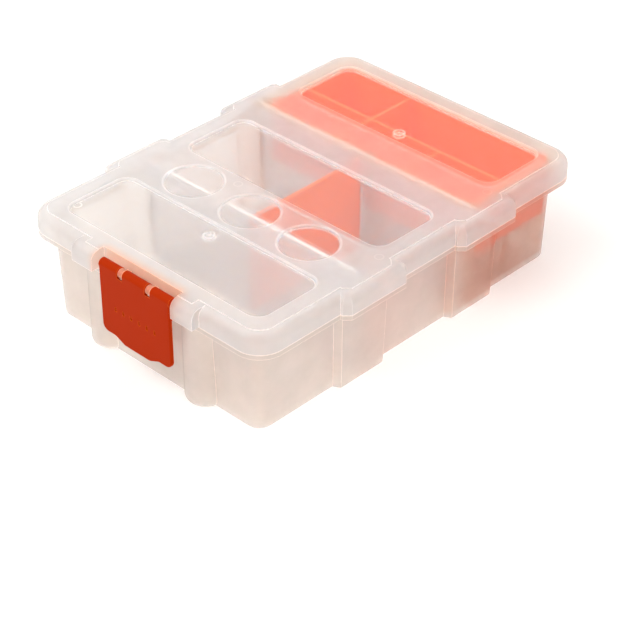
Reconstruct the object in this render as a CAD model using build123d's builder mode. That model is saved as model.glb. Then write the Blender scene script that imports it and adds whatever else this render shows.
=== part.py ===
from build123d import *
import os
from math import radians, tan

os.makedirs("parts", exist_ok=True)

# Frame: +Z up, the box stands on Z = 0, the origin is the middle of its foot.
# The latch is at -Y and the hinge at +Y. All lengths are millimetres.

# ---------------------------------------------------------------- driving sizes
OVERALL_WIDTH = 135.0        # across the bulges of the two long sides
OVERALL_LENGTH = 186.0       # from the front bulge to the back of the hinge
HEIGHT = 48.0                # table to the flat top of the lid
BULGE_OUT = 3.5              # how far the lid swells out over pilasters and latch

RIM_OUT_SIDE = 7.7           # from the foot out to the lid's rim
RIM_OUT_END = 6.5
BASE_CORNER = 6.0
FOOT_ROUND = 1.6             # rounding where wall and floor meet
WALL = 1.5                   # box and lid
FLOOR = 1.6
DRAFT = 2.0                  # degrees, so that the mould lets go
WALL_IN_LID = 4.3            # the wall runs on above the flange, into the lid

FLANGE = 2.0                 # shelf around the wall that carries the lid
LID_DEPTH = 8.3              # rim of the lid to its flat top
RIM_CORNER = 11.0
SHOULDER = 4.0               # rounding between the lid's top and its skirt
TOP_STEP = 0.3               # the flat top stands this much above the rounding
SEAT_GAP = 0.1               # flat faces of different pieces

DIVIDER = 1.2                # thickness of the removable walls
SLIDE_GAP = 0.25             # side play of a removable wall in its slot
TOP_GAP = 0.3                # under the lid and its ribs
DIVIDER_CORNER = 4.0

PILASTER_LENGTH = 26.0
PILASTER_OUT = 3.0
PILASTER_BEVEL = 1.6
SIDE_BULGE_LENGTH = 34.0
END_BULGE_WIDTH = 66.0
BULGE_BEVEL = 2.5
COLUMN_RADIUS = 8.0          # half-round columns beside the latch
COLUMN_ASIDE = 7.2           # from the latch's side to the middle of a column
COLUMN_SUNK = 1.6            # that middle lies this far inside the wall's face
COLUMN_FOOT_ROUND = 3.4
PANEL_OUT = 1.6              # the wall between the columns stands this far out
SLOT_RIB = 0.9               # ribs that hold a removable wall
SLOT_RIB_OUT = 1.8

TRAY_FLOOR_Z = 20.8          # underside of the lift-out tray
TRAY_WALL = 1.2
TRAY_RIB = 1.0
TRAY_GAP = 0.4
TRAY_CORNER = 4.0
TRAY_ROW = 21.5              # inside depth of its front row
LEDGE = 1.5                  # thickness of the ribs that the tray stands on
LEDGE_OUT = 2.4
LEDGE_SPACING = 55.2         # the rear ribs, across the box

WINDOW_LENGTH = 33.6
WINDOW_SIDE = 10.4           # from the lid's rim to a window
WINDOW_END = 9.7
WINDOW_CORNER = 6.0
WINDOW_DEPTH = 1.0
WINDOW_SLOPE = 40.0          # degrees that the rim of a window leans
WINDOW_SHEET = 1.3
WINDOW_FRAME = 1.0           # how far the sheet laps under the lid around a window
RING_RADIUS = 12.4
RING_PITCH = 31.3
RING_DEPTH = 0.5
RING_SLOPE = 64.0
LID_RIB = 0.8
LID_RIB_DEPTH = 1.3
LID_RIB_GAP = 0.4            # play between a lid rib and a removable wall
LID_GUSSET = 3.2             # how far the cross ribs run down inside the skirt
GATE_RADIUS = 2.6            # the moulding's round gate marks, under the windows
GATE_LINE = 0.8
GATE_HEIGHT = 0.3
GATE_INSET = 4.2             # from the near or far edge of its window

LATCH_WIDTH = 38.2
LATCH_RECESS_GAP = 2.5       # beside the latch, in the lid
HOUSING_GAP = 0.35           # from the box's wall to the lid's wall behind the latch
RECESS_GAP = 1.0             # behind its barrel
NOTCH_GAP = 1.1              # behind its plate, in the shelf
LATCH_BARREL = 2.1           # radius
LATCH_ROD = 1.1              # radius
LATCH_PLATE = 1.5
LATCH_AXIS_DROP = 4.4        # below the lid's top
LATCH_BOTTOM = 14.3
LATCH_CORNER = 3.0
LATCH_EDGE = 0.5             # rounding of the plate's front edges
LATCH_TAB_WIDTH = 24.0
LATCH_TAB_SLANT = 5.0
LATCH_TAB_DROP = 2.2
LATCH_SLOT = 3.0
LATCH_SLOT_SPACING = 15.2
LATCH_HOOK = 1.6             # height of the lip that grips under the flange
LATCH_GRIP = 0.8             # how far that lip reaches under the flange
LUG_RADIUS = 1.9
LUG_MOUTH = 1.7              # snap-in mouth of a lug, narrower than the rod
LUG_PLAY = 0.4               # on each side of a lug, in its slot
LUG_GAP = 0.8                # from a lug to the barrel around it
MARK_COUNT = 6
MARK_PITCH = 4.3
MARK_Z = 27.0
MARK_DEPTH = 0.35
MARK_WIDTH = 1.0
MARK_HEIGHT = 1.9

HINGE_ROD = 1.5              # radius
RUNNING_GAP = 0.05           # radial play of a rod in its eye
HINGE_EYE = 2.7
HINGE_KNUCKLE = 12.0         # length of each lid knuckle
HINGE_SPACING = 57.0         # between the two hinges
HINGE_LUG = 3.0              # the box's lugs, one on each side of a knuckle
HINGE_GAP = 0.6
HINGE_MOUTH = 2.4
HINGE_ARM = 5.8              # the knuckle's arm rises this far behind the skirt
HINGE_ARM_BEVEL = 1.8

# ---------------------------------------------------------------- worked-out sizes
LID_WIDTH = OVERALL_WIDTH - 2 * BULGE_OUT
LID_LENGTH = OVERALL_LENGTH - 2 * BULGE_OUT
LID_BOTTOM = HEIGHT - LID_DEPTH
LID_UNDERSIDE = HEIGHT - WALL
RIB_BOTTOM = LID_UNDERSIDE - LID_RIB_DEPTH

BASE_WIDTH = LID_WIDTH - 2 * RIM_OUT_SIDE
BASE_LENGTH = LID_LENGTH - 2 * RIM_OUT_END
FLANGE_TOP = LID_BOTTOM - SEAT_GAP
FLANGE_BOTTOM = FLANGE_TOP - FLANGE
WALL_TOP = LID_BOTTOM + WALL_IN_LID

WINDOW_WIDTH = LID_WIDTH - 2 * WINDOW_SIDE
WINDOW_PITCH = (LID_LENGTH - WINDOW_LENGTH) / 2 - WINDOW_END
DIVIDER_Y = WINDOW_PITCH / 2
DIVIDER_TOP = LID_UNDERSIDE - TOP_GAP
INSERT_TOP = RIB_BOTTOM - TOP_GAP
LEDGE_Y = (DIVIDER_Y + BASE_LENGTH / 2) / 2

LATCH_AXIS_Z = HEIGHT - LATCH_AXIS_DROP
RECESS_WIDTH = LATCH_WIDTH + 2 * LATCH_RECESS_GAP
LUG_WIDTH = LATCH_SLOT - 2 * LUG_PLAY
COLUMN_SPACING = LATCH_WIDTH + 2 * COLUMN_ASIDE
COLUMN_Y = COLUMN_SUNK - BASE_LENGTH / 2

HINGE_Y = OVERALL_LENGTH / 2 - HINGE_EYE
HINGE_Z = FLANGE_BOTTOM + FLANGE / 2
HINGE_NOTCH = HINGE_Y - HINGE_EYE - HINGE_GAP
HINGE_SPAN = HINGE_KNUCKLE + 2 * HINGE_LUG + 4 * HINGE_GAP


def lean(z):
    """How far a drafted wall has moved out at height z."""
    return z * tan(radians(DRAFT))


# from the box's wall outwards: the lid's wall, the barrel, the plate
RECESS_BACK = -BASE_LENGTH / 2 - lean(WALL_TOP) - HOUSING_GAP - WALL
LATCH_AXIS_Y = RECESS_BACK - RECESS_GAP - LATCH_BARREL
LATCH_FRONT = LATCH_AXIS_Y - LATCH_BARREL
LATCH_BACK = LATCH_FRONT + LATCH_PLATE
NOTCH_BACK = LATCH_BACK + NOTCH_GAP


def inner_half_width(z):
    return BASE_WIDTH / 2 - WALL + lean(z)


def inner_half_length(z):
    return BASE_LENGTH / 2 - WALL + lean(z)


def pocket_half_width(z):
    """Inside of the pilasters, where the cross dividers end."""
    return inner_half_width(z) + PILASTER_OUT


def slot_offset(play):
    """Middle of a guide rib, from the middle of the wall that it guides."""
    return DIVIDER / 2 + play + SLOT_RIB / 2


hinge_middles = (-HINGE_SPACING / 2, HINGE_SPACING / 2)
slot_middles = (-LATCH_SLOT_SPACING / 2, LATCH_SLOT_SPACING / 2)


# ---------------------------------------------------------------- plans
def bulge_band(half, reach):
    """Adds one bulge, from side to side, with bevelled corners."""
    Polygon(
        (half - BULGE_BEVEL, reach), (half, reach - BULGE_BEVEL),
        (half, BULGE_BEVEL - reach), (half - BULGE_BEVEL, -reach),
        (BULGE_BEVEL - half, -reach), (-half, BULGE_BEVEL - reach),
        (-half, reach - BULGE_BEVEL), (BULGE_BEVEL - half, reach),
    )


def rim_outline(inset):
    """Adds the rim with its side bulges to the open sketch, this far inside its edge."""
    RectangleRounded(LID_WIDTH - 2 * inset, LID_LENGTH - 2 * inset, RIM_CORNER - inset)
    with Locations((0, DIVIDER_Y), (0, -DIVIDER_Y)):
        bulge_band(OVERALL_WIDTH / 2 - inset, SIDE_BULGE_LENGTH / 2 - inset)


def front_bulge(inset):
    """Adds the bulge over the latch, from the middle of the lid outwards."""
    Rectangle(
        END_BULGE_WIDTH - 2 * inset, OVERALL_LENGTH / 2 - inset,
        align=(Align.CENTER, Align.MAX),
    )


def pilaster_outline(inset, height):
    """Adds the two pilaster bands, each one from wall to wall."""
    out = BASE_WIDTH / 2 + PILASTER_OUT - inset + lean(height)
    half = PILASTER_LENGTH / 2 - inset
    for middle in (DIVIDER_Y, -DIVIDER_Y):
        with Locations((0, middle)):
            Polygon(
                (out - PILASTER_OUT, half), (out, half - PILASTER_BEVEL),
                (out, PILASTER_BEVEL - half), (out - PILASTER_OUT, -half),
                (PILASTER_OUT - out, -half), (-out, PILASTER_BEVEL - half),
                (-out, half - PILASTER_BEVEL), (PILASTER_OUT - out, half),
            )


def edges_at(part, height):
    """The edges of a part that lie wholly at one height."""
    return part.edges().filter_by_position(Axis.Z, height - 0.001, height + 0.001)


# ---------------------------------------------------------------- base box
def front_panel(out):
    """Adds the wall between the columns, this far out of the wall beside it."""
    with Locations((0, -BASE_LENGTH / 2 - out)):
        Rectangle(COLUMN_SPACING, out + WALL, align=(Align.CENTER, Align.MIN))


def columns(radius, bottom, top, foot_round):
    """The two columns beside the latch, as solid rods."""
    with BuildPart() as rods:
        with BuildSketch(Plane.XY.offset(bottom)):
            with Locations((-COLUMN_SPACING / 2, COLUMN_Y), (COLUMN_SPACING / 2, COLUMN_Y)):
                Circle(radius)
        extrude(amount=top - bottom)
        fillet(edges_at(rods, bottom), foot_round)
    return rods.part


with BuildPart() as base_box:
    with BuildSketch():
        RectangleRounded(BASE_WIDTH, BASE_LENGTH, BASE_CORNER)
    extrude(amount=WALL_TOP, taper=-DRAFT)
    with BuildSketch():
        pilaster_outline(0, 0)
    extrude(amount=WALL_TOP, taper=-DRAFT)
    with BuildSketch():
        front_panel(PANEL_OUT)
    extrude(amount=FLANGE_BOTTOM, taper=-DRAFT)
    fillet(edges_at(base_box, 0), FOOT_ROUND)
    add(columns(COLUMN_RADIUS, 0, FLANGE_BOTTOM, COLUMN_FOOT_ROUND))

    # the shelf that the lid sits on
    with BuildSketch(Plane.XY.offset(FLANGE_BOTTOM)):
        rim_outline(0)
    extrude(amount=FLANGE)

    # the inside, drafted like the outside
    with BuildSketch(Plane.XY.offset(FLOOR)):
        RectangleRounded(
            2 * inner_half_width(FLOOR), 2 * inner_half_length(FLOOR), BASE_CORNER - WALL
        )
    extrude(amount=HEIGHT, taper=-DRAFT, mode=Mode.SUBTRACT)
    with BuildSketch(Plane.XY.offset(FLOOR)):
        pilaster_outline(WALL, FLOOR)
    extrude(amount=HEIGHT, taper=-DRAFT, mode=Mode.SUBTRACT)
    with BuildSketch(Plane.XY.offset(FLOOR)):
        front_panel(PANEL_OUT - WALL + lean(FLOOR))
    extrude(amount=FLANGE_BOTTOM - FLOOR - WALL, taper=-DRAFT, mode=Mode.SUBTRACT)
    niche_top = FLANGE_BOTTOM - WALL
    add(
        columns(COLUMN_RADIUS - WALL, FLOOR, niche_top, COLUMN_FOOT_ROUND - WALL),
        mode=Mode.SUBTRACT,
    )

    # guide ribs for the cross dividers, inside the pilasters
    rib_sides = [
        (side, DIVIDER_Y * bay + slot_offset(SLIDE_GAP) * face)
        for side in (1, -1) for bay in (1, -1) for face in (1, -1)
    ]
    for side, middle in rib_sides:
        with BuildSketch(Plane.XZ.offset(-middle)):
            Polygon(
                (side * (pocket_half_width(FLOOR) + WALL / 2), FLOOR - WALL / 2),
                (side * (pocket_half_width(FLOOR) - SLOT_RIB_OUT), FLOOR - WALL / 2),
                (side * (pocket_half_width(FLANGE_TOP) - SLOT_RIB_OUT), FLANGE_TOP),
                (side * (pocket_half_width(FLANGE_TOP) + WALL / 2), FLANGE_TOP),
                align=None,
            )
        extrude(amount=SLOT_RIB / 2, both=True)

    # ribs that carry the tray: one on each long side, two on the rear wall
    for side in (1, -1):
        with BuildSketch(Plane.XZ.offset(-LEDGE_Y)):
            Polygon(
                (side * (inner_half_width(FLOOR) + WALL / 2), FLOOR - WALL / 2),
                (side * (inner_half_width(TRAY_FLOOR_Z) - LEDGE_OUT), FLOOR - WALL / 2),
                (side * (inner_half_width(TRAY_FLOOR_Z) - LEDGE_OUT), TRAY_FLOOR_Z - SEAT_GAP),
                (side * (inner_half_width(TRAY_FLOOR_Z) + WALL / 2), TRAY_FLOOR_Z - SEAT_GAP),
                align=None,
            )
        extrude(amount=LEDGE / 2, both=True)
        with BuildSketch(Plane.YZ.offset(side * LEDGE_SPACING / 2)):
            Polygon(
                (inner_half_length(FLOOR) + WALL / 2, FLOOR - WALL / 2),
                (inner_half_length(TRAY_FLOOR_Z) - LEDGE_OUT, FLOOR - WALL / 2),
                (inner_half_length(TRAY_FLOOR_Z) - LEDGE_OUT, TRAY_FLOOR_Z - SEAT_GAP),
                (inner_half_length(TRAY_FLOOR_Z) + WALL / 2, TRAY_FLOOR_Z - SEAT_GAP),
                align=None,
            )
        extrude(amount=LEDGE / 2, both=True)

    # notch in the shelf behind the latch
    with BuildSketch(Plane.XY.offset(FLANGE_BOTTOM)):
        with Locations((0, NOTCH_BACK)):
            Rectangle(RECESS_WIDTH, OVERALL_LENGTH, align=(Align.CENTER, Align.MAX))
    extrude(amount=FLANGE, mode=Mode.SUBTRACT)

    # two hinges: a notch in the shelf, two lugs and the rod between them
    lug_offset = (HINGE_KNUCKLE + HINGE_LUG) / 2 + HINGE_GAP
    for hinge in hinge_middles:
        with BuildSketch(Plane.XY.offset(FLANGE_BOTTOM)):
            with Locations((hinge, HINGE_NOTCH)):
                Rectangle(HINGE_SPAN, OVERALL_LENGTH, align=(Align.CENTER, Align.MIN))
        extrude(amount=FLANGE, mode=Mode.SUBTRACT)
        for middle in (hinge - lug_offset, hinge + lug_offset):
            with BuildSketch(Plane.YZ.offset(middle)):
                with Locations((HINGE_Y, HINGE_Z)):
                    Circle(HINGE_EYE)
                    Rectangle(
                        HINGE_Y - HINGE_NOTCH + FLANGE, FLANGE,
                        align=(Align.MAX, Align.CENTER),
                    )
            extrude(amount=HINGE_LUG / 2, both=True)
        with BuildSketch(Plane.YZ.offset(hinge)):
            with Locations((HINGE_Y, HINGE_Z)):
                Circle(HINGE_ROD)
        extrude(amount=lug_offset, both=True)

base_box.part.label = "base_box"
export_step(base_box.part, "parts/base_box.step")


# ---------------------------------------------------------------- lid
def lid_form(inset, bottom):
    """The lid's form as a solid block, this far inside its surface."""
    top = HEIGHT - TOP_STEP - inset
    round_off = SHOULDER - inset
    with BuildPart() as middle:
        with BuildSketch(Plane.XY.offset(bottom)):
            RectangleRounded(LID_WIDTH - 2 * inset, LID_LENGTH - 2 * inset, RIM_CORNER - inset)
        extrude(amount=top - bottom)
        fillet(edges_at(middle, top), round_off)
    with BuildPart() as across:
        with BuildSketch(Plane.XY.offset(bottom)):
            with Locations((0, DIVIDER_Y), (0, -DIVIDER_Y)):
                bulge_band(OVERALL_WIDTH / 2 - inset, SIDE_BULGE_LENGTH / 2 - inset)
        extrude(amount=top - bottom)
        fillet(edges_at(across, top), round_off)
    with BuildPart() as front:
        with BuildSketch(Plane.XY.offset(bottom)):
            front_bulge(inset)
        extrude(amount=top - bottom)
        fillet(edges_at(front, top).sort_by(Axis.Y)[0], round_off)
    with BuildPart() as form:
        add(middle.part)
        add(across.part)
        add(front.part)
        # the flat top
        with BuildSketch(Plane.XY.offset(HEIGHT - SHOULDER - inset)):
            rim_outline(SHOULDER)
            front_bulge(SHOULDER)
        extrude(amount=SHOULDER)
    return form.part


# the hollow under the lid, which leaves a solid housing around the latch
with BuildPart() as lid_hollow:
    add(lid_form(WALL, LID_BOTTOM - WALL))
    with BuildSketch(Plane.XY.offset(LID_BOTTOM - WALL)):
        with Locations((0, RECESS_BACK + WALL)):
            Rectangle(
                RECESS_WIDTH + 2 * WALL, OVERALL_LENGTH, align=(Align.CENTER, Align.MAX)
            )
    extrude(amount=HEIGHT, mode=Mode.SUBTRACT)

# ribs under the lid: a pair over each cross divider, and a pair along the middle
# of each strip, except above the tray's rear wall
rib_offset = DIVIDER / 2 + LID_RIB_GAP + LID_RIB / 2
end_strip = (LID_LENGTH - WINDOW_PITCH * 2 - WINDOW_LENGTH) / 2
strips = [
    (WINDOW_PITCH / 2, WINDOW_PITCH - WINDOW_LENGTH),
    (-WINDOW_PITCH / 2, WINDOW_PITCH - WINDOW_LENGTH),
    (-(LID_LENGTH - end_strip) / 2, end_strip),
]
with BuildPart() as lid_ribs:
    with BuildSketch(Plane.XY.offset(RIB_BOTTOM)):
        for bay in (DIVIDER_Y, -DIVIDER_Y):
            for face in (rib_offset, -rib_offset):
                with Locations((0, bay + face)):
                    Rectangle(OVERALL_WIDTH, LID_RIB)
        for middle, length in strips:
            for face in (rib_offset, -rib_offset):
                with Locations((face, middle)):
                    Rectangle(LID_RIB, length)
    extrude(amount=HEIGHT - RIB_BOTTOM)
    # slots that keep the ribs clear of the cross dividers
    with BuildSketch(Plane.XY.offset(RIB_BOTTOM)):
        with Locations((0, DIVIDER_Y), (0, -DIVIDER_Y)):
            Rectangle(OVERALL_WIDTH, DIVIDER + 2 * LID_RIB_GAP)
    extrude(amount=LID_RIB_DEPTH, mode=Mode.SUBTRACT)
    # where the cross ribs run down inside the bulges
    gusset_in = pocket_half_width(WALL_TOP) + WALL + LID_RIB_GAP
    for side in (1, -1):
        for bay in (DIVIDER_Y, -DIVIDER_Y):
            for face in (rib_offset, -rib_offset):
                with BuildSketch(Plane.XZ.offset(-bay - face)):
                    Polygon(
                        (side * gusset_in, HEIGHT),
                        (side * gusset_in, RIB_BOTTOM),
                        (side * OVERALL_WIDTH / 2, LID_UNDERSIDE - LID_GUSSET),
                        (side * OVERALL_WIDTH / 2, HEIGHT),
                        align=None,
                    )
                extrude(amount=LID_RIB / 2, both=True)
    add(lid_form(WALL / 2, LID_BOTTOM), mode=Mode.INTERSECT)

with BuildPart() as lid:
    add(lid_form(0, LID_BOTTOM))
    add(lid_hollow.part, mode=Mode.SUBTRACT)
    add(lid_ribs.part)

    # windows: a sunken sheet with a sloping rim
    with BuildSketch(Plane.XY.offset(LID_UNDERSIDE)):
        with GridLocations(1, WINDOW_PITCH, 1, 3):
            RectangleRounded(
                WINDOW_WIDTH + 2 * WINDOW_FRAME, WINDOW_LENGTH + 2 * WINDOW_FRAME,
                WINDOW_CORNER + WINDOW_FRAME,
            )
    extrude(amount=-(WINDOW_SHEET + WINDOW_DEPTH - WALL))
    with BuildSketch(Plane.XY.offset(HEIGHT)):
        with GridLocations(1, WINDOW_PITCH, 1, 3):
            RectangleRounded(WINDOW_WIDTH, WINDOW_LENGTH, WINDOW_CORNER)
    extrude(amount=-WINDOW_DEPTH, taper=WINDOW_SLOPE, mode=Mode.SUBTRACT)

    # three round dishes over the front cross divider
    with BuildSketch(Plane.XY.offset(HEIGHT)):
        with Locations((0, -DIVIDER_Y)):
            with GridLocations(RING_PITCH, 1, 3, 1):
                Circle(RING_RADIUS)
    extrude(amount=-RING_DEPTH, taper=RING_SLOPE, mode=Mode.SUBTRACT)

    # gate marks of the moulding, in the front and the rear window
    gate_from_middle = WINDOW_PITCH - WINDOW_LENGTH / 2 + GATE_INSET + GATE_RADIUS
    with BuildSketch(Plane.XY.offset(HEIGHT - WINDOW_DEPTH - WINDOW_SHEET)):
        with GridLocations(1, 2 * gate_from_middle, 1, 2):
            Circle(GATE_RADIUS)
            Circle(GATE_RADIUS - GATE_LINE, mode=Mode.SUBTRACT)
            Circle(GATE_LINE)
    extrude(amount=-GATE_HEIGHT)

    # recess for the latch
    with BuildSketch(Plane.XY.offset(LID_BOTTOM)):
        with Locations((0, RECESS_BACK)):
            Rectangle(RECESS_WIDTH, OVERALL_LENGTH, align=(Align.CENTER, Align.MAX))
    extrude(amount=HEIGHT, mode=Mode.SUBTRACT)

    # two lugs that hold the latch's rod
    for middle in slot_middles:
        with BuildSketch(Plane.YZ.offset(middle)):
            with Locations((LATCH_AXIS_Y, LATCH_AXIS_Z)):
                Circle(LUG_RADIUS)
                Rectangle(
                    RECESS_BACK - LATCH_AXIS_Y + WALL / 2, LUG_RADIUS,
                    align=(Align.MIN, Align.MAX),
                )
                Circle(LATCH_ROD + RUNNING_GAP, mode=Mode.SUBTRACT)
                Rectangle(
                    LUG_MOUTH, 2 * LUG_RADIUS, align=(Align.CENTER, Align.MAX),
                    mode=Mode.SUBTRACT,
                )
        extrude(amount=LUG_WIDTH / 2, both=True)

    # openings in the rear skirt for the hinges, and the lid's knuckles with their arms
    for hinge in hinge_middles:
        with BuildSketch(Plane.XY.offset(LID_BOTTOM)):
            with Locations((hinge, HINGE_NOTCH)):
                Rectangle(HINGE_SPAN, OVERALL_LENGTH, align=(Align.CENTER, Align.MIN))
        extrude(amount=HINGE_Z + HINGE_EYE + HINGE_GAP - LID_BOTTOM, mode=Mode.SUBTRACT)
        with BuildSketch(Plane.YZ.offset(hinge)):
            with Locations((HINGE_Y, HINGE_Z)):
                Circle(HINGE_EYE)
                Polygon(
                    (HINGE_EYE, 0), (HINGE_EYE, HINGE_ARM - HINGE_ARM_BEVEL),
                    (HINGE_EYE - HINGE_ARM_BEVEL, HINGE_ARM), (-HINGE_ROD, HINGE_ARM),
                    (-HINGE_ROD, 0),
                    align=None,
                )
                Circle(HINGE_ROD + RUNNING_GAP, mode=Mode.SUBTRACT)
                Rectangle(
                    HINGE_MOUTH, 2 * HINGE_EYE, align=(Align.CENTER, Align.MAX),
                    mode=Mode.SUBTRACT,
                )
        extrude(amount=HINGE_KNUCKLE / 2, both=True)

lid.part.label = "lid"
export_step(lid.part, "parts/lid.step")


# ---------------------------------------------------------------- front latch
with BuildPart() as front_latch:
    # plate with a tab for the finger
    with BuildSketch(Plane.XZ.offset(-LATCH_BACK)):
        with Locations((0, LATCH_BOTTOM)):
            Rectangle(
                LATCH_WIDTH, LATCH_AXIS_Z - LATCH_BOTTOM, align=(Align.CENTER, Align.MIN)
            )
            tab_half = LATCH_TAB_WIDTH / 2
            Polygon(
                (-tab_half, 0), (LATCH_TAB_SLANT - tab_half, -LATCH_TAB_DROP),
                (tab_half - LATCH_TAB_SLANT, -LATCH_TAB_DROP), (tab_half, 0),
                align=None,
            )
    extrude(amount=LATCH_PLATE)
    fillet(front_latch.edges().filter_by(Axis.Y).group_by(Axis.Z)[:2], LATCH_CORNER)
    fillet(front_latch.faces().sort_by(Axis.Y)[0].edges(), LATCH_EDGE)

    # barrel, and the lip that grips under the shelf
    with BuildSketch(Plane.YZ):
        with Locations((LATCH_AXIS_Y, LATCH_AXIS_Z)):
            Circle(LATCH_BARREL)
        with Locations((LATCH_BACK, FLANGE_BOTTOM - SEAT_GAP)):
            Polygon(
                (-LATCH_PLATE / 2, 0), (NOTCH_BACK - LATCH_BACK + LATCH_GRIP, 0),
                (0, -LATCH_HOOK), (-LATCH_PLATE / 2, -LATCH_HOOK),
                align=None,
            )
    extrude(amount=LATCH_WIDTH / 2, both=True)

    # two gaps in the barrel, where the lid's lugs hold the rod
    for middle in slot_middles:
        with BuildSketch(Plane.YZ.offset(middle)):
            with Locations((LATCH_AXIS_Y, LATCH_AXIS_Z)):
                Circle(LUG_RADIUS + LUG_GAP)
        extrude(amount=LATCH_SLOT / 2, both=True, mode=Mode.SUBTRACT)
    with BuildSketch(Plane.YZ):
        with Locations((LATCH_AXIS_Y, LATCH_AXIS_Z)):
            Circle(LATCH_ROD)
    extrude(amount=LATCH_WIDTH / 2, both=True)

    # a row of plain sunk marks
    with BuildSketch(Plane.XZ.offset(-LATCH_FRONT)):
        with Locations((0, MARK_Z)):
            with GridLocations(MARK_PITCH, 1, MARK_COUNT, 1):
                Rectangle(MARK_WIDTH, MARK_HEIGHT)
    extrude(amount=-MARK_DEPTH, mode=Mode.SUBTRACT)

front_latch.part.label = "front_latch"
export_step(front_latch.part, "parts/front_latch.step")


# ---------------------------------------------------------------- upper tray
tray_front = DIVIDER_Y + DIVIDER / 2 + TRAY_GAP + lean(INSERT_TOP - TRAY_FLOOR_Z)
tray_rear = inner_half_length(TRAY_FLOOR_Z) - TRAY_GAP
tray_half_width = inner_half_width(TRAY_FLOOR_Z) - TRAY_GAP
tray_middle = (tray_front + tray_rear) / 2
tray_cross_rib = tray_front + TRAY_WALL + TRAY_ROW + TRAY_RIB / 2
tray_inner_z = TRAY_FLOOR_Z + TRAY_WALL
tray_third = 2 * inner_half_width(INSERT_TOP) / 3
tray_rib_top = INSERT_TOP - TRAY_RIB / 2
with BuildPart() as upper_tray:
    with BuildSketch(Plane.XY.offset(TRAY_FLOOR_Z)):
        with Locations((0, tray_middle)):
            RectangleRounded(2 * tray_half_width, tray_rear - tray_front, TRAY_CORNER)
    extrude(amount=INSERT_TOP - TRAY_FLOOR_Z, taper=-DRAFT)
    fillet(edges_at(upper_tray, TRAY_FLOOR_Z), TRAY_WALL)
    with BuildSketch(Plane.XY.offset(tray_inner_z)):
        with Locations((0, tray_middle)):
            RectangleRounded(
                2 * (tray_half_width + lean(TRAY_WALL) - TRAY_WALL),
                tray_rear - tray_front + 2 * (lean(TRAY_WALL) - TRAY_WALL),
                TRAY_CORNER - TRAY_WALL,
            )
    extrude(amount=INSERT_TOP, taper=-DRAFT, mode=Mode.SUBTRACT)

    # one rib across, one through both rows and a short one in the front row
    with BuildSketch(Plane.XY.offset(tray_inner_z)):
        with Locations((0, tray_cross_rib)):
            Rectangle(2 * tray_half_width - TRAY_WALL, TRAY_RIB)
        with Locations((-tray_third / 2, tray_middle)):
            Rectangle(TRAY_RIB, tray_rear - tray_front - TRAY_WALL)
        with Locations((tray_third / 2, tray_cross_rib)):
            Rectangle(TRAY_RIB, TRAY_ROW + TRAY_WALL, align=(Align.CENTER, Align.MAX))
    extrude(amount=tray_rib_top - tray_inner_z)

upper_tray.part.label = "upper_tray"
export_step(upper_tray.part, "parts/upper_tray.step")


# ---------------------------------------------------------------- removable walls
divider_bottom = FLOOR + SEAT_GAP
guide_offset = slot_offset(SLIDE_GAP)


def cross_divider(bay):
    """A wall across the box, with a pair of guide ribs towards the middle bay."""
    low = pocket_half_width(divider_bottom) - SLIDE_GAP
    high = pocket_half_width(DIVIDER_TOP) - SLIDE_GAP
    inward = -bay
    face = bay * DIVIDER_Y + inward * DIVIDER / 2
    with BuildPart() as wall:
        with BuildSketch(Plane.XZ.offset(-bay * DIVIDER_Y)) as outline:
            Polygon(
                (-low, divider_bottom), (low, divider_bottom),
                (high, DIVIDER_TOP), (-high, DIVIDER_TOP),
                align=None,
            )
            fillet(outline.vertices().group_by(Axis.Y)[-1], DIVIDER_CORNER)
        extrude(amount=DIVIDER / 2, both=True)
        with BuildSketch(Plane.XZ.offset(-face)):
            with Locations((guide_offset, divider_bottom), (-guide_offset, divider_bottom)):
                Rectangle(
                    SLOT_RIB, INSERT_TOP - divider_bottom,
                    align=(Align.CENTER, Align.MIN),
                )
        extrude(amount=-inward * SLOT_RIB_OUT)
    return wall.part


for name, bay in (("front_divider", -1), ("rear_divider", 1)):
    divider = cross_divider(bay)
    divider.label = name
    export_step(divider, "parts/" + name + ".step")

with BuildPart() as centre_divider:
    with BuildSketch(Plane.YZ):
        with Locations((0, divider_bottom)):
            Rectangle(
                WINDOW_PITCH - DIVIDER - 2 * SLIDE_GAP, INSERT_TOP - divider_bottom,
                align=(Align.CENTER, Align.MIN),
            )
    extrude(amount=DIVIDER / 2, both=True)

centre_divider.part.label = "centre_divider"
export_step(centre_divider.part, "parts/centre_divider.step")
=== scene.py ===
# %% [markdown]
# # A flat organizer box for beads and small parts
# The real thing is a handful of injection mouldings. Box, lid and two of the slide-in walls are
# natural, uncoloured polypropylene: milky, a little warm, and see-through where the mould was
# polished. The latch, the lift-out tray and the middle wall are the same plastic dyed orange.
# The solid model already has every rib and lug, so it is loaded first and most of the work here
# goes into the plastic: how cloudy it is, how it blurs what lies behind it, and how it shines.

# %% Load the solid model
import math

import bpy
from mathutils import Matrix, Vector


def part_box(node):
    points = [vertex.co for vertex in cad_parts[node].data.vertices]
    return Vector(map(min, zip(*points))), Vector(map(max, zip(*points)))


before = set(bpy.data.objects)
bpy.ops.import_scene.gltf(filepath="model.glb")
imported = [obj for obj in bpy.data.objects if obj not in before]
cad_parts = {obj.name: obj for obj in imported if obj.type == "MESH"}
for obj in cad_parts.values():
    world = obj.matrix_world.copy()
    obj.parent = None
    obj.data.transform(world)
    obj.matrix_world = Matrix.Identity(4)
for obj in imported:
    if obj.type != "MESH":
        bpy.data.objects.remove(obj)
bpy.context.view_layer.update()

scene = bpy.context.scene
scene.view_settings.view_transform = "Standard"
print("nodes:", ", ".join(sorted(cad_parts)))

# %% [markdown]
# ## The camera
# A flat box shows most of itself from in front of a corner and well above it. A wide lens from
# close by would make the near corner loom, so a long lens from further away is used, and the
# edges stay nearly parallel. The camera stands about 0.83 m away, 44 degrees round from the
# front, and looks down at 35.5 degrees.

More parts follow.
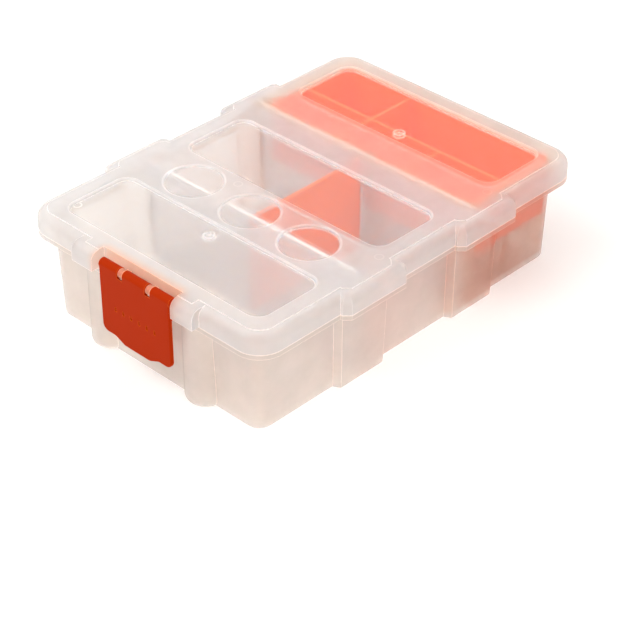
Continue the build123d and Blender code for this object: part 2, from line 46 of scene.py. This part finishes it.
# %% Set up the camera
CAMERA_PLACE = (0.4794, -0.4877, 0.4690)
CAMERA_TURN = 44.11        # degrees, about the vertical
CAMERA_DOWN = 35.53        # degrees below the horizon
LENS_MM, SENSOR_MM = 115.4, 36.0
NEAREST, FARTHEST = 0.01, 20.0

camera_data = bpy.data.cameras.new("camera")
camera_data.lens = LENS_MM
camera_data.sensor_width = SENSOR_MM
camera_data.clip_start, camera_data.clip_end = NEAREST, FARTHEST
camera = bpy.data.objects.new("camera", camera_data)
camera.location = CAMERA_PLACE
camera.rotation_euler = (math.radians(90.0 - CAMERA_DOWN), 0.0, math.radians(CAMERA_TURN))
scene.collection.objects.link(camera)
scene.camera = camera
print("camera:", [round(value, 3) for value in camera.location])

# %% [markdown]
# ## Three small helpers
# Colours are written as the hex values that a paint program shows, which are sRGB, and Blender
# calculates in linear light, so one function turns one into the other. The second adds a shader
# node, gives it its settings and joins its inputs, so that a material reads as a list of nodes.
# The third starts a material with nothing in it but its output.

# %% Write the helpers
def linear(hex_colour):
    """An sRGB hex colour as linear red, green, blue and an alpha of 1."""
    channels = [int(hex_colour[i:i + 2], 16) / 255.0 for i in (1, 3, 5)]
    return [c / 12.92 if c <= 0.04045 else ((c + 0.055) / 1.055) ** 2.4 for c in channels] + [1.0]


def add_node(tree, kind, inputs=(), **settings):
    """Adds a node with its settings. Its inputs are given by name, or in their own order.

    An input is a number, a colour, an output socket, or a node, for its first output in use.
    """
    node = tree.nodes.new(kind)
    for name, value in settings.items():
        setattr(node, name, value)
    for name, value in inputs.items() if isinstance(inputs, dict) else enumerate(inputs):
        if isinstance(value, bpy.types.Node):
            value = next(output for output in value.outputs if output.enabled)
        if isinstance(value, bpy.types.NodeSocket):
            tree.links.new(value, node.inputs[name])
        else:
            node.inputs[name].default_value = value
    return node


def new_material(name):
    """A material, its node tree and the socket that takes its surface."""
    material = bpy.data.materials.new(name)
    material.use_nodes = True
    material.node_tree.nodes.clear()
    output = add_node(material.node_tree, "ShaderNodeOutputMaterial")
    return material, material.node_tree, output.inputs["Surface"]


print("white:", [round(value, 3) for value in linear("#ffffff")])

# %% [markdown]
# ## The floor
# The box stands on a plain white floor, which should look pure white and still carry the box's
# soft shadow. More light on everything would whiten it too, but would bleach the plastic. So the
# floor is an ordinary matte surface with a weak glow, which is seen only by the camera's own rays
# and by those that have passed through plastic.

# %% Make the floor
FLOOR_SIZE = 6.0
FLOOR_GLOW = 0.20
FLOOR_Z = -0.00005         # just under the foot, because faces at one height flicker
half = FLOOR_SIZE / 2
corners = [(-half, -half), (half, -half), (half, half), (-half, half)]
floor_mesh = bpy.data.meshes.new("floor")
floor_mesh.from_pydata([(*corner, FLOOR_Z) for corner in corners], [], [(0, 1, 2, 3)])
floor = bpy.data.objects.new("floor", floor_mesh)
scene.collection.objects.link(floor)

paper, tree, surface = new_material("matte_paper")
sight = add_node(tree, "ShaderNodeLightPath")
rays = [sight.outputs["Is Camera Ray"], sight.outputs["Is Transmission Ray"]]
seen = add_node(tree, "ShaderNodeMath", rays, operation="MAXIMUM")
strength = add_node(tree, "ShaderNodeMath", [seen, FLOOR_GLOW], operation="MULTIPLY")
glow = add_node(tree, "ShaderNodeEmission", {"Color": linear("#ffffff"), "Strength": strength})
matte = add_node(tree, "ShaderNodeBsdfDiffuse", {"Color": linear("#f4f2f0")})
both = add_node(tree, "ShaderNodeAddShader", [matte, glow])
tree.links.new(both.outputs[0], surface)
floor_mesh.materials.append(paper)
print("floor:", FLOOR_SIZE, "m square")

# %% [markdown]
# ## The light
# Frosted plastic wants light from all sides. Under a dome that is equally bright everywhere,
# though, clear plastic disappears, because all that it mirrors and all that shows through it has
# one brightness. So this dome is full overhead and falls off towards the horizon, as the light
# from a white ceiling does. Only the camera's own rays see plain white behind the box. Two wide,
# weak lamps add a soft sheen.

# %% Light the scene
HORIZON_GLOW, ZENITH_GLOW = 0.55, 0.98
FULL_FROM = 0.8            # how high on the dome its full light starts: 0 horizon, 1 zenith
world = bpy.data.worlds.new("pale_dome")
world.use_nodes = True
world.node_tree.nodes.clear()
tree = world.node_tree
direction = add_node(tree, "ShaderNodeTexCoord").outputs["Generated"]
height = add_node(tree, "ShaderNodeSeparateXYZ", [direction]).outputs["Z"]
fall_off = add_node(tree, "ShaderNodeMapRange", {
    "Value": height, "From Min": 0.0, "From Max": FULL_FROM,
    "To Min": HORIZON_GLOW, "To Max": ZENITH_GLOW,
})
dome = add_node(tree, "ShaderNodeBackground", {"Color": linear("#fbfaf8"), "Strength": fall_off})
white = add_node(tree, "ShaderNodeBackground", {"Color": linear("#ffffff"), "Strength": 1.0})
direct = add_node(tree, "ShaderNodeLightPath").outputs["Is Camera Ray"]
sky = add_node(tree, "ShaderNodeMixShader", [direct, dome, white])
add_node(tree, "ShaderNodeOutputWorld", {"Surface": sky})
scene.world = world

LAMP_SIZE = 0.9            # metres
LAMPS = {                  # place in metres, and watts
    "key_lamp": ((-0.5, -0.9, 1.3), 8.0),
    "fill_lamp": ((1.2, 0.1, 0.9), 2.5),
}
for name, (place, power) in LAMPS.items():
    data = bpy.data.lights.new(name, "AREA")
    data.shape = "SQUARE"
    data.size = LAMP_SIZE
    data.energy = power
    lamp = bpy.data.objects.new(name, data)
    lamp.location = place
    # a lamp shines along its own -Z, which is turned towards the box
    lamp.rotation_euler = (-lamp.location).to_track_quat("-Z", "Y").to_euler()
    scene.collection.objects.link(lamp)
print("lamps:", ", ".join(LAMPS))

# %% [markdown]
# ## Measuring inside a material
# A pattern on a moulding could be painted on its unfolded surface. Where it is made of straight
# lines and circles it can also be calculated from the place of each point, and it then stays
# sharp from close by. Object coordinates give that place, and they are turned to millimetres, so
# that every size below is a real one. All distances are measured as seen from above.

# %% Write the distances
MM = 0.001


def place_in_mm(tree):
    """The object coordinates in millimetres."""
    metres = add_node(tree, "ShaderNodeTexCoord").outputs["Object"]
    return add_node(
        tree, "ShaderNodeVectorMath", {0: metres, "Scale": 1 / MM}, operation="SCALE"
    )


def past_rectangle(tree, x, y, middle, half_sides):
    """How far a point lies outside a rectangle, and 0 inside it."""
    point = add_node(tree, "ShaderNodeCombineXYZ", [x, y])
    away = add_node(tree, "ShaderNodeVectorMath", [point, (*middle, 0.0)], operation="SUBTRACT")
    away = add_node(tree, "ShaderNodeVectorMath", [away], operation="ABSOLUTE")
    past = add_node(tree, "ShaderNodeVectorMath", [away, (*half_sides, 0.0)], operation="SUBTRACT")
    past = add_node(tree, "ShaderNodeVectorMath", [past, (0.0, 0.0, 0.0)], operation="MAXIMUM")
    return add_node(tree, "ShaderNodeVectorMath", [past], operation="LENGTH")


def nearest_circle(tree, x, y, middles, radius):
    """Distance to the nearest of some equal circles, negative inside them."""
    point = add_node(tree, "ShaderNodeCombineXYZ", [x, y])
    away = [
        add_node(tree, "ShaderNodeVectorMath", [point, (*middle, 0.0)], operation="DISTANCE")
        for middle in middles
    ]
    nearest = away.pop()
    for other in away:
        nearest = add_node(tree, "ShaderNodeMath", [nearest, other], operation="MINIMUM")
    return add_node(tree, "ShaderNodeMath", [nearest, radius], operation="SUBTRACT")


print("one metre is", round(1 / MM), "mm")

# %% [markdown]
# ## Where the lid is polished
# The mould of the lid was polished in two kinds of places only: the three long windows and the
# three round dishes. Everywhere else it was blasted, which leaves the plastic frosted. The same
# few sizes that shape the lid say where that is. The windows repeat along the lid, so the
# coordinate is wrapped and one window stands for all three.

# %% Find the windows and dishes
WINDOW_LENGTH, WINDOW_WIDTH, WINDOW_CORNER = 33.6, 107.2, 6.0
WINDOW_PITCH = 63.0
DISH_RADIUS, DISH_PITCH = 12.4, 31.3
DISH_ROW = -WINDOW_PITCH / 2
DISHES = [(across, DISH_ROW) for across in (-DISH_PITCH, 0.0, DISH_PITCH)]


def rim_distance(tree, x, y):
    """Distance to the rim of the nearest window or dish, negative inside it."""
    along = add_node(
        tree, "ShaderNodeMath", [y, WINDOW_PITCH / 2, -WINDOW_PITCH / 2], operation="WRAP"
    )
    # a rounded rectangle is a smaller one with sharp corners and a margin all round
    sharp = (WINDOW_WIDTH / 2 - WINDOW_CORNER, WINDOW_LENGTH / 2 - WINDOW_CORNER)
    past = past_rectangle(tree, x, along, (0.0, 0.0), sharp)
    window = add_node(tree, "ShaderNodeMath", [past, WINDOW_CORNER], operation="SUBTRACT")
    dish = nearest_circle(tree, x, y, DISHES, DISH_RADIUS)
    return add_node(tree, "ShaderNodeMath", [window, dish], operation="MINIMUM")


print("dishes at", DISHES)

# %% [markdown]
# ## Pale edges, painted
# Light travels inside a plastic wall and leaves it where the wall ends, so the edges of a
# moulding look paler than its faces. That paleness is painted: the mask found here makes an edge
# more solid, gives it a painted glow, and in the dyed plastic a lighter colour, a painted
# highlight. Rounding every edge of the mesh would need a great many small faces. A Bevel node
# does without them: it gives the normal that a rounded edge would have, and where that turns
# away from the true normal there is an edge.

# %% Write the edges
EDGE_WIDTH = 0.45          # mm
EDGE_STARTS, EDGE_FULL = 0.985, 0.80     # how well the two normals still agree there


def edge_mask(tree):
    """1 on the edges of the moulding and 0 on its faces."""
    rounded = add_node(tree, "ShaderNodeBevel", {"Radius": EDGE_WIDTH * MM}, samples=4)
    true = add_node(tree, "ShaderNodeNewGeometry").outputs["Normal"]
    agreement = add_node(tree, "ShaderNodeVectorMath", [rounded, true], operation="DOT_PRODUCT")
    return add_node(tree, "ShaderNodeMapRange", {
        "Value": agreement, "From Min": EDGE_STARTS, "From Max": EDGE_FULL,
        "To Min": 0.0, "To Max": 1.0,
    }, interpolation_type="SMOOTHSTEP")


print("an edge is", EDGE_WIDTH, "mm wide")

# %% [markdown]
# ## What the mould leaves on the lid, and a painted rim highlight
# The windows and dishes are sunk, and their sloping rims catch the light; that highlight is
# painted here as a pale line along each rim. In two places the plastic came in through a gate,
# which left a ring and a dot under the window. The solid model has them, but they are so low
# that they hardly show, and so they are drawn over. Four pins that push the lid out of its mould
# leave faint rings, which are drawn without any shape of their own. Each of these is a soft line
# along the places where a distance is zero, and like an edge it is more solid and has a painted
# glow.

# %% Write the marks of the mould and the painted rim highlight
LINE_CORE, LINE_FADE = 0.3, 0.7          # where a line starts to fade and ends, of its width
RIM_INSET = 0.35           # mm, the slope's middle lies that far inside the rim
# the painted highlight on a rim's slope: its width in mm and its strength
RIM_HIGHLIGHT_WIDTH = 1.2             # mm wide
RIM_HIGHLIGHT_STRENGTH = 0.30
GATES = [(0.0, -53.0), (0.0, 53.0)]
PINS = [(56.8, -20.4), (56.1, 41.9), (-17.3, -21.1), (-51.8, -73.7)]
ROUND_MARKS = (            # middles and radius in mm, the line's width in mm and its strength
    (GATES, 2.2, 0.9, 0.60),             # the ring
    (GATES, 0.0, 1.2, 0.60),             # the dot in its middle
    (PINS, 1.7, 0.6, 0.12),
)
TOP_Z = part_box("lid")[1][2] / MM
TOP_DEPTH = 3.2, 3.0       # mm under the top of the lid, where the marks start and are full


def fine_line(tree, distance, width, strength):
    """A soft line where the distance is zero."""
    off = add_node(tree, "ShaderNodeMath", [distance], operation="ABSOLUTE")
    return add_node(tree, "ShaderNodeMapRange", {
        "Value": off, "From Min": width * LINE_CORE, "From Max": width * LINE_FADE,
        "To Min": strength, "To Max": 0.0,
    }, interpolation_type="SMOOTHSTEP")


def marks_and_rim_highlight(tree, x, y, z, rim):
    """All the pale lines on top of the lid. rim is the distance to a window's or dish's rim."""
    # the first line is a painted highlight along the slope of each rim
    slope = add_node(tree, "ShaderNodeMath", [rim, RIM_INSET], operation="ADD")
    lines = fine_line(tree, slope, RIM_HIGHLIGHT_WIDTH, RIM_HIGHLIGHT_STRENGTH)
    for middles, radius, width, strength in ROUND_MARKS:
        circle = nearest_circle(tree, x, y, middles, radius)
        line = fine_line(tree, circle, width, strength)
        lines = add_node(tree, "ShaderNodeMath", [lines, line], operation="MAXIMUM")
    on_top = add_node(tree, "ShaderNodeMapRange", {
        "Value": z, "From Min": TOP_Z - TOP_DEPTH[0], "From Max": TOP_Z - TOP_DEPTH[1],
        "To Min": 0.0, "To Max": 1.0,
    })
    return add_node(tree, "ShaderNodeMath", [lines, on_top], operation="MULTIPLY")


print("the lid's top is", round(TOP_Z, 1), "mm up")
print("gates and pins:", len(GATES), len(PINS))

# %% [markdown]
# ## The grain of a blasted mould
# Blasting the mould leaves a fine grain in the plastic, which takes the sharpness off its shine.
# It is too fine to model, and too fine to show at this size as well, so a noise that is coarser
# than the real grain tilts the normals a little.

# %% Write the grain
GRAIN_SIZE = 0.6           # mm, coarser than the real grain, so that it shows
GRAIN_DEPTH = 0.05         # mm


def moulded_grain(tree, place, strength):
    """The normal of a surface from a blasted mould."""
    grain = add_node(
        tree, "ShaderNodeTexNoise", {"Vector": place, "Scale": 1 / GRAIN_SIZE, "Detail": 2.0}
    )
    return add_node(
        tree, "ShaderNodeBump",
        {"Height": grain, "Strength": strength, "Distance": GRAIN_DEPTH * MM},
    )


print("grain:", GRAIN_SIZE, "mm")

# %% [markdown]
# ## Light that comes through the plastic, painted in
# Cloudy plastic takes on the colour of what stands beside it. Light that has met the orange tray
# or the latch gets into the box and the lid and comes out again some way off. It would have to
# be followed through a great many bounces, so that orange light is painted in here instead, as
# colour and, beside the latch, as a glow, and the less of it the further a point lies from that
# piece. In the box's wall the painted orange is darker than the plastic, so it paints shade as
# well. The box's floor is left out, since it lies too far below the tray. In the same way a thin
# wall has a painted glow on its top face, standing for the light that it caught lower down and
# that comes out there.

# %% Write the painted lent light
FLOOR_FADE = 1.7, 4.5      # mm up, where the lent orange starts and is full, above the floor
TOP_FACE = 0.3             # mm, the uppermost part of a thin wall


def closeness(tree, x, y, z, node, reach):
    """1 beside a piece of the model, fading to 0 at this reach from it and at the box's floor."""
    low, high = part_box(node)
    middle = (low[1] + high[1]) / 2 / MM
    half_sides = (high[0] / MM, high[1] / MM - middle)
    beside = add_node(tree, "ShaderNodeMapRange", {
        "Value": past_rectangle(tree, x, y, (0.0, middle), half_sides),
        "From Min": 0.0, "From Max": reach, "To Min": 1.0, "To Max": 0.0,
    }, interpolation_type="SMOOTHSTEP")
    off_floor = add_node(tree, "ShaderNodeMapRange", {
        "Value": z, "From Min": FLOOR_FADE[0], "From Max": FLOOR_FADE[1],
        "To Min": 0.0, "To Max": 1.0,
    }, interpolation_type="SMOOTHSTEP")
    return add_node(tree, "ShaderNodeMath", [beside, off_floor], operation="MULTIPLY")


def top_face(tree, z, node):
    """1 on the top face of a thin wall, 0 below it."""
    under_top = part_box(node)[1][2] / MM - TOP_FACE
    return add_node(tree, "ShaderNodeMath", [z, under_top], operation="GREATER_THAN")


# %% [markdown]
# ## Natural polypropylene
# Uncoloured polypropylene is cloudy because it is full of tiny crystals. A wall of it lets part
# of the light straight through, spreads another part into a blur, and soaks up the rest like
# wax, to give it back as a warm glow. Glass with some roughness would only blur, and wax would
# only glow. One Principled shader holds all three: alpha is the part that passes unbent,
# transmission with some roughness is the blurred part, and subsurface scattering is the glow.

# %% Sizes and shares of the cloudy plastic
PP_IOR = 1.49              # how strongly polypropylene bends light
FROSTED_ROUGHNESS = 0.35
CLOUD_SIZE = 14.0          # mm, slow changes in how cloudy the plastic is
CLOUDING = 0.06            # by what part that changes the clear share, up or down
NOISE_LOW, NOISE_HIGH = 0.3, 0.7         # most of a noise's values lie between these
POLISH_FULL, POLISH_ENDS = -1.0, -0.2    # mm from the rim of a window or dish, inside it
EDGE_SHUT = 0.85           # share of the passing light that an edge keeps back
# painted glow: EDGE_GLOW and TOP_GLOW are emission that stands for the light leaving a wall at its
# edges and a thin wall at its top, and EDGE_LIGHT is its colour
EDGE_GLOW = 0.14           # light that travels inside the wall and leaves it at an edge
EDGE_LIGHT = "#fff0e2"     # and its colour, warm from its long way through the plastic
TOP_GLOW = 0.55            # the same at the top of a thin wall
LIT_INSIDE = 0.80          # share of the lamps' blurred light that reaches the inside
SCATTER_DEPTH = 4.0        # mm, how far light wanders inside the plastic
SCATTER_BY_COLOUR = (1.0, 0.9, 0.8)      # red the furthest
FROSTED_BUMP = 0.30
print("the clear share varies by", round(100 * CLOUDING), "percent")


# %% Put the cloudy plastic together
def cloudy_plastic(name, tint, clear, blur, beside=(), polished_clear=None, top_of=None):
    """Natural polypropylene. clear and blur are the shares that pass unbent and spread.

    beside lists the orange pieces next to it, with the reach, colour and glow of the orange
    light painted in beside them. polished_clear is the clear share where the mould was polished.
    top_of names a thin wall, whose top face gets a painted glow.
    """
    material, tree, surface = new_material(name)
    place = place_in_mm(tree)
    x, y, z = add_node(tree, "ShaderNodeSeparateXYZ", [place]).outputs
    cloud = add_node(
        tree, "ShaderNodeTexNoise",
        {"Vector": place, "Scale": 1 / CLOUD_SIZE, "Detail": 3.0, "Roughness": 0.6},
    )
    share = add_node(tree, "ShaderNodeMapRange", {
        "Value": cloud, "From Min": NOISE_LOW, "From Max": NOISE_HIGH,
        "To Min": clear * (1 - CLOUDING), "To Max": clear * (1 + CLOUDING),
    })
    spread = blur
    edge = edge_mask(tree)
    if polished_clear is not None:
        rim = rim_distance(tree, x, y)
        polish = add_node(tree, "ShaderNodeMapRange", {
            "Value": rim, "From Min": POLISH_FULL, "From Max": POLISH_ENDS,
            "To Min": 1.0, "To Max": 0.0,
        }, interpolation_type="SMOOTHSTEP")
        # the polished parts are evenly clear, and they don't blur
        share = add_node(
            tree, "ShaderNodeMix", {"Factor": polish, "A": share, "B": polished_clear}
        )
        spread = add_node(tree, "ShaderNodeMix", {"Factor": polish, "A": blur, "B": 0.0})
        # the mould's marks, with the painted highlight along each rim
        marks_and_highlight = marks_and_rim_highlight(tree, x, y, z, rim)
        edge = add_node(tree, "ShaderNodeMath", [edge, marks_and_highlight], operation="MAXIMUM")
    inner = add_node(tree, "ShaderNodeMath", [edge, -EDGE_SHUT, 1.0], operation="MULTIPLY_ADD")
    passing = add_node(tree, "ShaderNodeMath", [share, inner], operation="MULTIPLY")
    solid = add_node(tree, "ShaderNodeMath", [1.0, passing], operation="SUBTRACT")
    # the blurred light reaches the inside too, and a shadow ray would only count the clear share
    shadow = add_node(tree, "ShaderNodeLightPath").outputs["Is Shadow Ray"]
    kept = add_node(tree, "ShaderNodeMath", [shadow, -LIT_INSIDE, 1.0], operation="MULTIPLY_ADD")
    # painted glow: emission on the edges and the mould's marks, and on a thin wall's top
    glow = add_node(tree, "ShaderNodeMath", [edge, EDGE_GLOW], operation="MULTIPLY")
    if top_of is not None:
        top = top_face(tree, z, top_of)
        glow = add_node(tree, "ShaderNodeMath", [top, TOP_GLOW, glow], operation="MULTIPLY_ADD")
    tint_and_bleed, glow_colour = linear(tint), linear(EDGE_LIGHT)
    # painted light from the orange neighbours: their colour mixed into the plastic's colour and
    # glow colour, and a glow of its own where one is given
    for neighbour, reach, painted_bleed_colour, painted_bleed_glow in beside:
        near = closeness(tree, x, y, z, neighbour, reach)
        tint_and_bleed, glow_colour = [
            add_node(
                tree, "ShaderNodeMix", {"Factor": near, "A": plain, "B": linear(painted_bleed_colour)},
                data_type="RGBA",
            )
            for plain in (tint_and_bleed, glow_colour)
        ]
        if painted_bleed_glow:
            glow = add_node(
                tree, "ShaderNodeMath", [near, painted_bleed_glow, glow], operation="MULTIPLY_ADD"
            )
    plastic = add_node(tree, "ShaderNodeBsdfPrincipled", {
        "Base Color": tint_and_bleed, "Roughness": FROSTED_ROUGHNESS, "IOR": PP_IOR,
        "Subsurface Weight": 1.0, "Subsurface Scale": SCATTER_DEPTH * MM,
        "Subsurface Radius": SCATTER_BY_COLOUR,
        "Alpha": add_node(tree, "ShaderNodeMath", [solid, kept], operation="MULTIPLY"),
        "Transmission Weight": add_node(
            tree, "ShaderNodeMath", [inner, spread], operation="MULTIPLY"
        ),
        "Emission Color": glow_colour, "Emission Strength": glow,
        "Normal": moulded_grain(tree, place, FROSTED_BUMP),
    }, subsurface_method="RANDOM_WALK")
    tree.links.new(plastic.outputs[0], surface)
    print(name, "has", len(tree.nodes), "nodes")
    return material


# %% [markdown]
# ## Box, lid and cross walls
# Box and lid are equally thick and let about the same share of the light through, but for the
# windows and dishes, which are nearly clear. The box is a little warmer in colour, partly its own
# warmth and partly painted orange light from the tray inside it. Both get painted orange light
# from their neighbours; in the box's wall that colour is darker than the plastic, so it paints
# shade as well. The cross walls let the least through, because they are frosted all over, and
# their tops have a painted glow.

# %% Mix the natural plastics
# how far the painted orange light of the tray and the latch reaches, and the strength of the
# latch's painted glow in the lid
TRAY_REACH = 27.0          # mm, as far as the tray's orange spreads in the box's wall
TRAY_LID_REACH = 9.0       # mm, the same in the lid
LATCH_REACH = 6.0          # mm, as far as the latch's orange spreads in the lid
LATCH_GLOW = 0.18          # how strongly the lid shows that orange, right beside the latch

# the box's tint is partly painted orange light from the tray, and its lent colour is painted
# orange light that also paints shade
wall_plastic = cloudy_plastic(
    "natural_polypropylene", "#f5e7dd", 0.50, 0.75,
    beside=[("upper_tray", TRAY_REACH, "#e2ae92", 0.0)],
)
# the lid's lent colours are painted light: orange with a glow beside the latch, cream beside the
# tray
lid_plastic = cloudy_plastic(
    "natural_polypropylene_lid", "#fffafb", 0.48, 0.70,
    beside=[
        ("front_latch", LATCH_REACH, "#ffb48e", LATCH_GLOW),
        ("upper_tray", TRAY_LID_REACH, "#ffe6d4", 0.0),
    ],
    polished_clear=0.87,
)
# the cross walls' tops get a painted glow
divider_plastic = cloudy_plastic(
    "natural_polypropylene_thin", "#fffbfc", 0.40, 0.45, top_of="front_divider"
)

# %% [markdown]
# ## Dyed polypropylene
# The latch, the tray and the middle wall are dyed a strong orange, and nothing shows through
# them. So a plain colour does here what scattering does in the natural plastic, and it renders
# faster. The latch is the stoutest piece, with a rod and a lip behind its plate, and looks deep.
# The tray and the middle wall have thinner walls. Light that gets into such a wall comes out
# again anywhere on it, so those two get a weak painted glow of their own colour, stronger on
# their edges. All three are painted a lighter colour on their edges, as a highlight.

# %% Mix the dyed plastics
DYED_ROUGHNESS = 0.38
DYED_BUMP = 0.15
# how much stronger a thin wall's painted glow is on its edges
THIN_EDGE_GAIN = 3.0       # how much more light leaves a thin wall at its edges


def dyed_plastic(name, colour, edge_highlight_colour, sheen_level, glow):
    """Moulded, dyed polypropylene.

    sheen_level is how strongly it mirrors, and glow the painted glow that a thin wall adds.
    The edge colour is a lighter, painted highlight on its edges.
    """
    material, tree, surface = new_material(name)
    place = place_in_mm(tree)
    edge = edge_mask(tree)
    # the plastic's colour with a lighter, painted highlight on its edges
    shade = add_node(
        tree, "ShaderNodeMix",
        {"Factor": edge, "A": linear(colour), "B": linear(edge_highlight_colour)}, data_type="RGBA",
    )
    lit = {}
    # a thin wall's painted glow, stronger on its edges
    if glow:
        gain = [edge, glow * THIN_EDGE_GAIN, glow]
        lit["Emission Color"] = shade
        lit["Emission Strength"] = add_node(
            tree, "ShaderNodeMath", gain, operation="MULTIPLY_ADD"
        )
    plastic = add_node(tree, "ShaderNodeBsdfPrincipled", {
        "Base Color": shade, "Roughness": DYED_ROUGHNESS, "IOR": PP_IOR,
        "Specular IOR Level": sheen_level, "Normal": moulded_grain(tree, place, DYED_BUMP), **lit,
    })
    tree.links.new(plastic.outputs[0], surface)
    print(name, "has", len(tree.nodes), "nodes")
    return material


# each second colour is a painted highlight for the edges; the last number is a thin wall's painted
# glow
latch_plastic = dyed_plastic("orange_polypropylene_thick", "#b72f00", "#e8641a", 0.04, 0.0)
tray_plastic = dyed_plastic("orange_polypropylene_thin", "#ff680c", "#ffb07c", 0.20, 0.12)

# %% [markdown]
# ## Dress the model
# Each piece of the solid model is one moulding, so each gets one material.

# %% Give each moulding its plastic
finishes = {
    "base_box": wall_plastic,
    "lid": lid_plastic,
    "front_divider": divider_plastic,
    "rear_divider": divider_plastic,
    "front_latch": latch_plastic,
    "upper_tray": tray_plastic,
    "centre_divider": tray_plastic,
}
for node, material in finishes.items():
    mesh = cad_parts[node].data
    mesh.materials.clear()
    mesh.materials.append(material)
    print(node, len(mesh.polygons), "triangles")
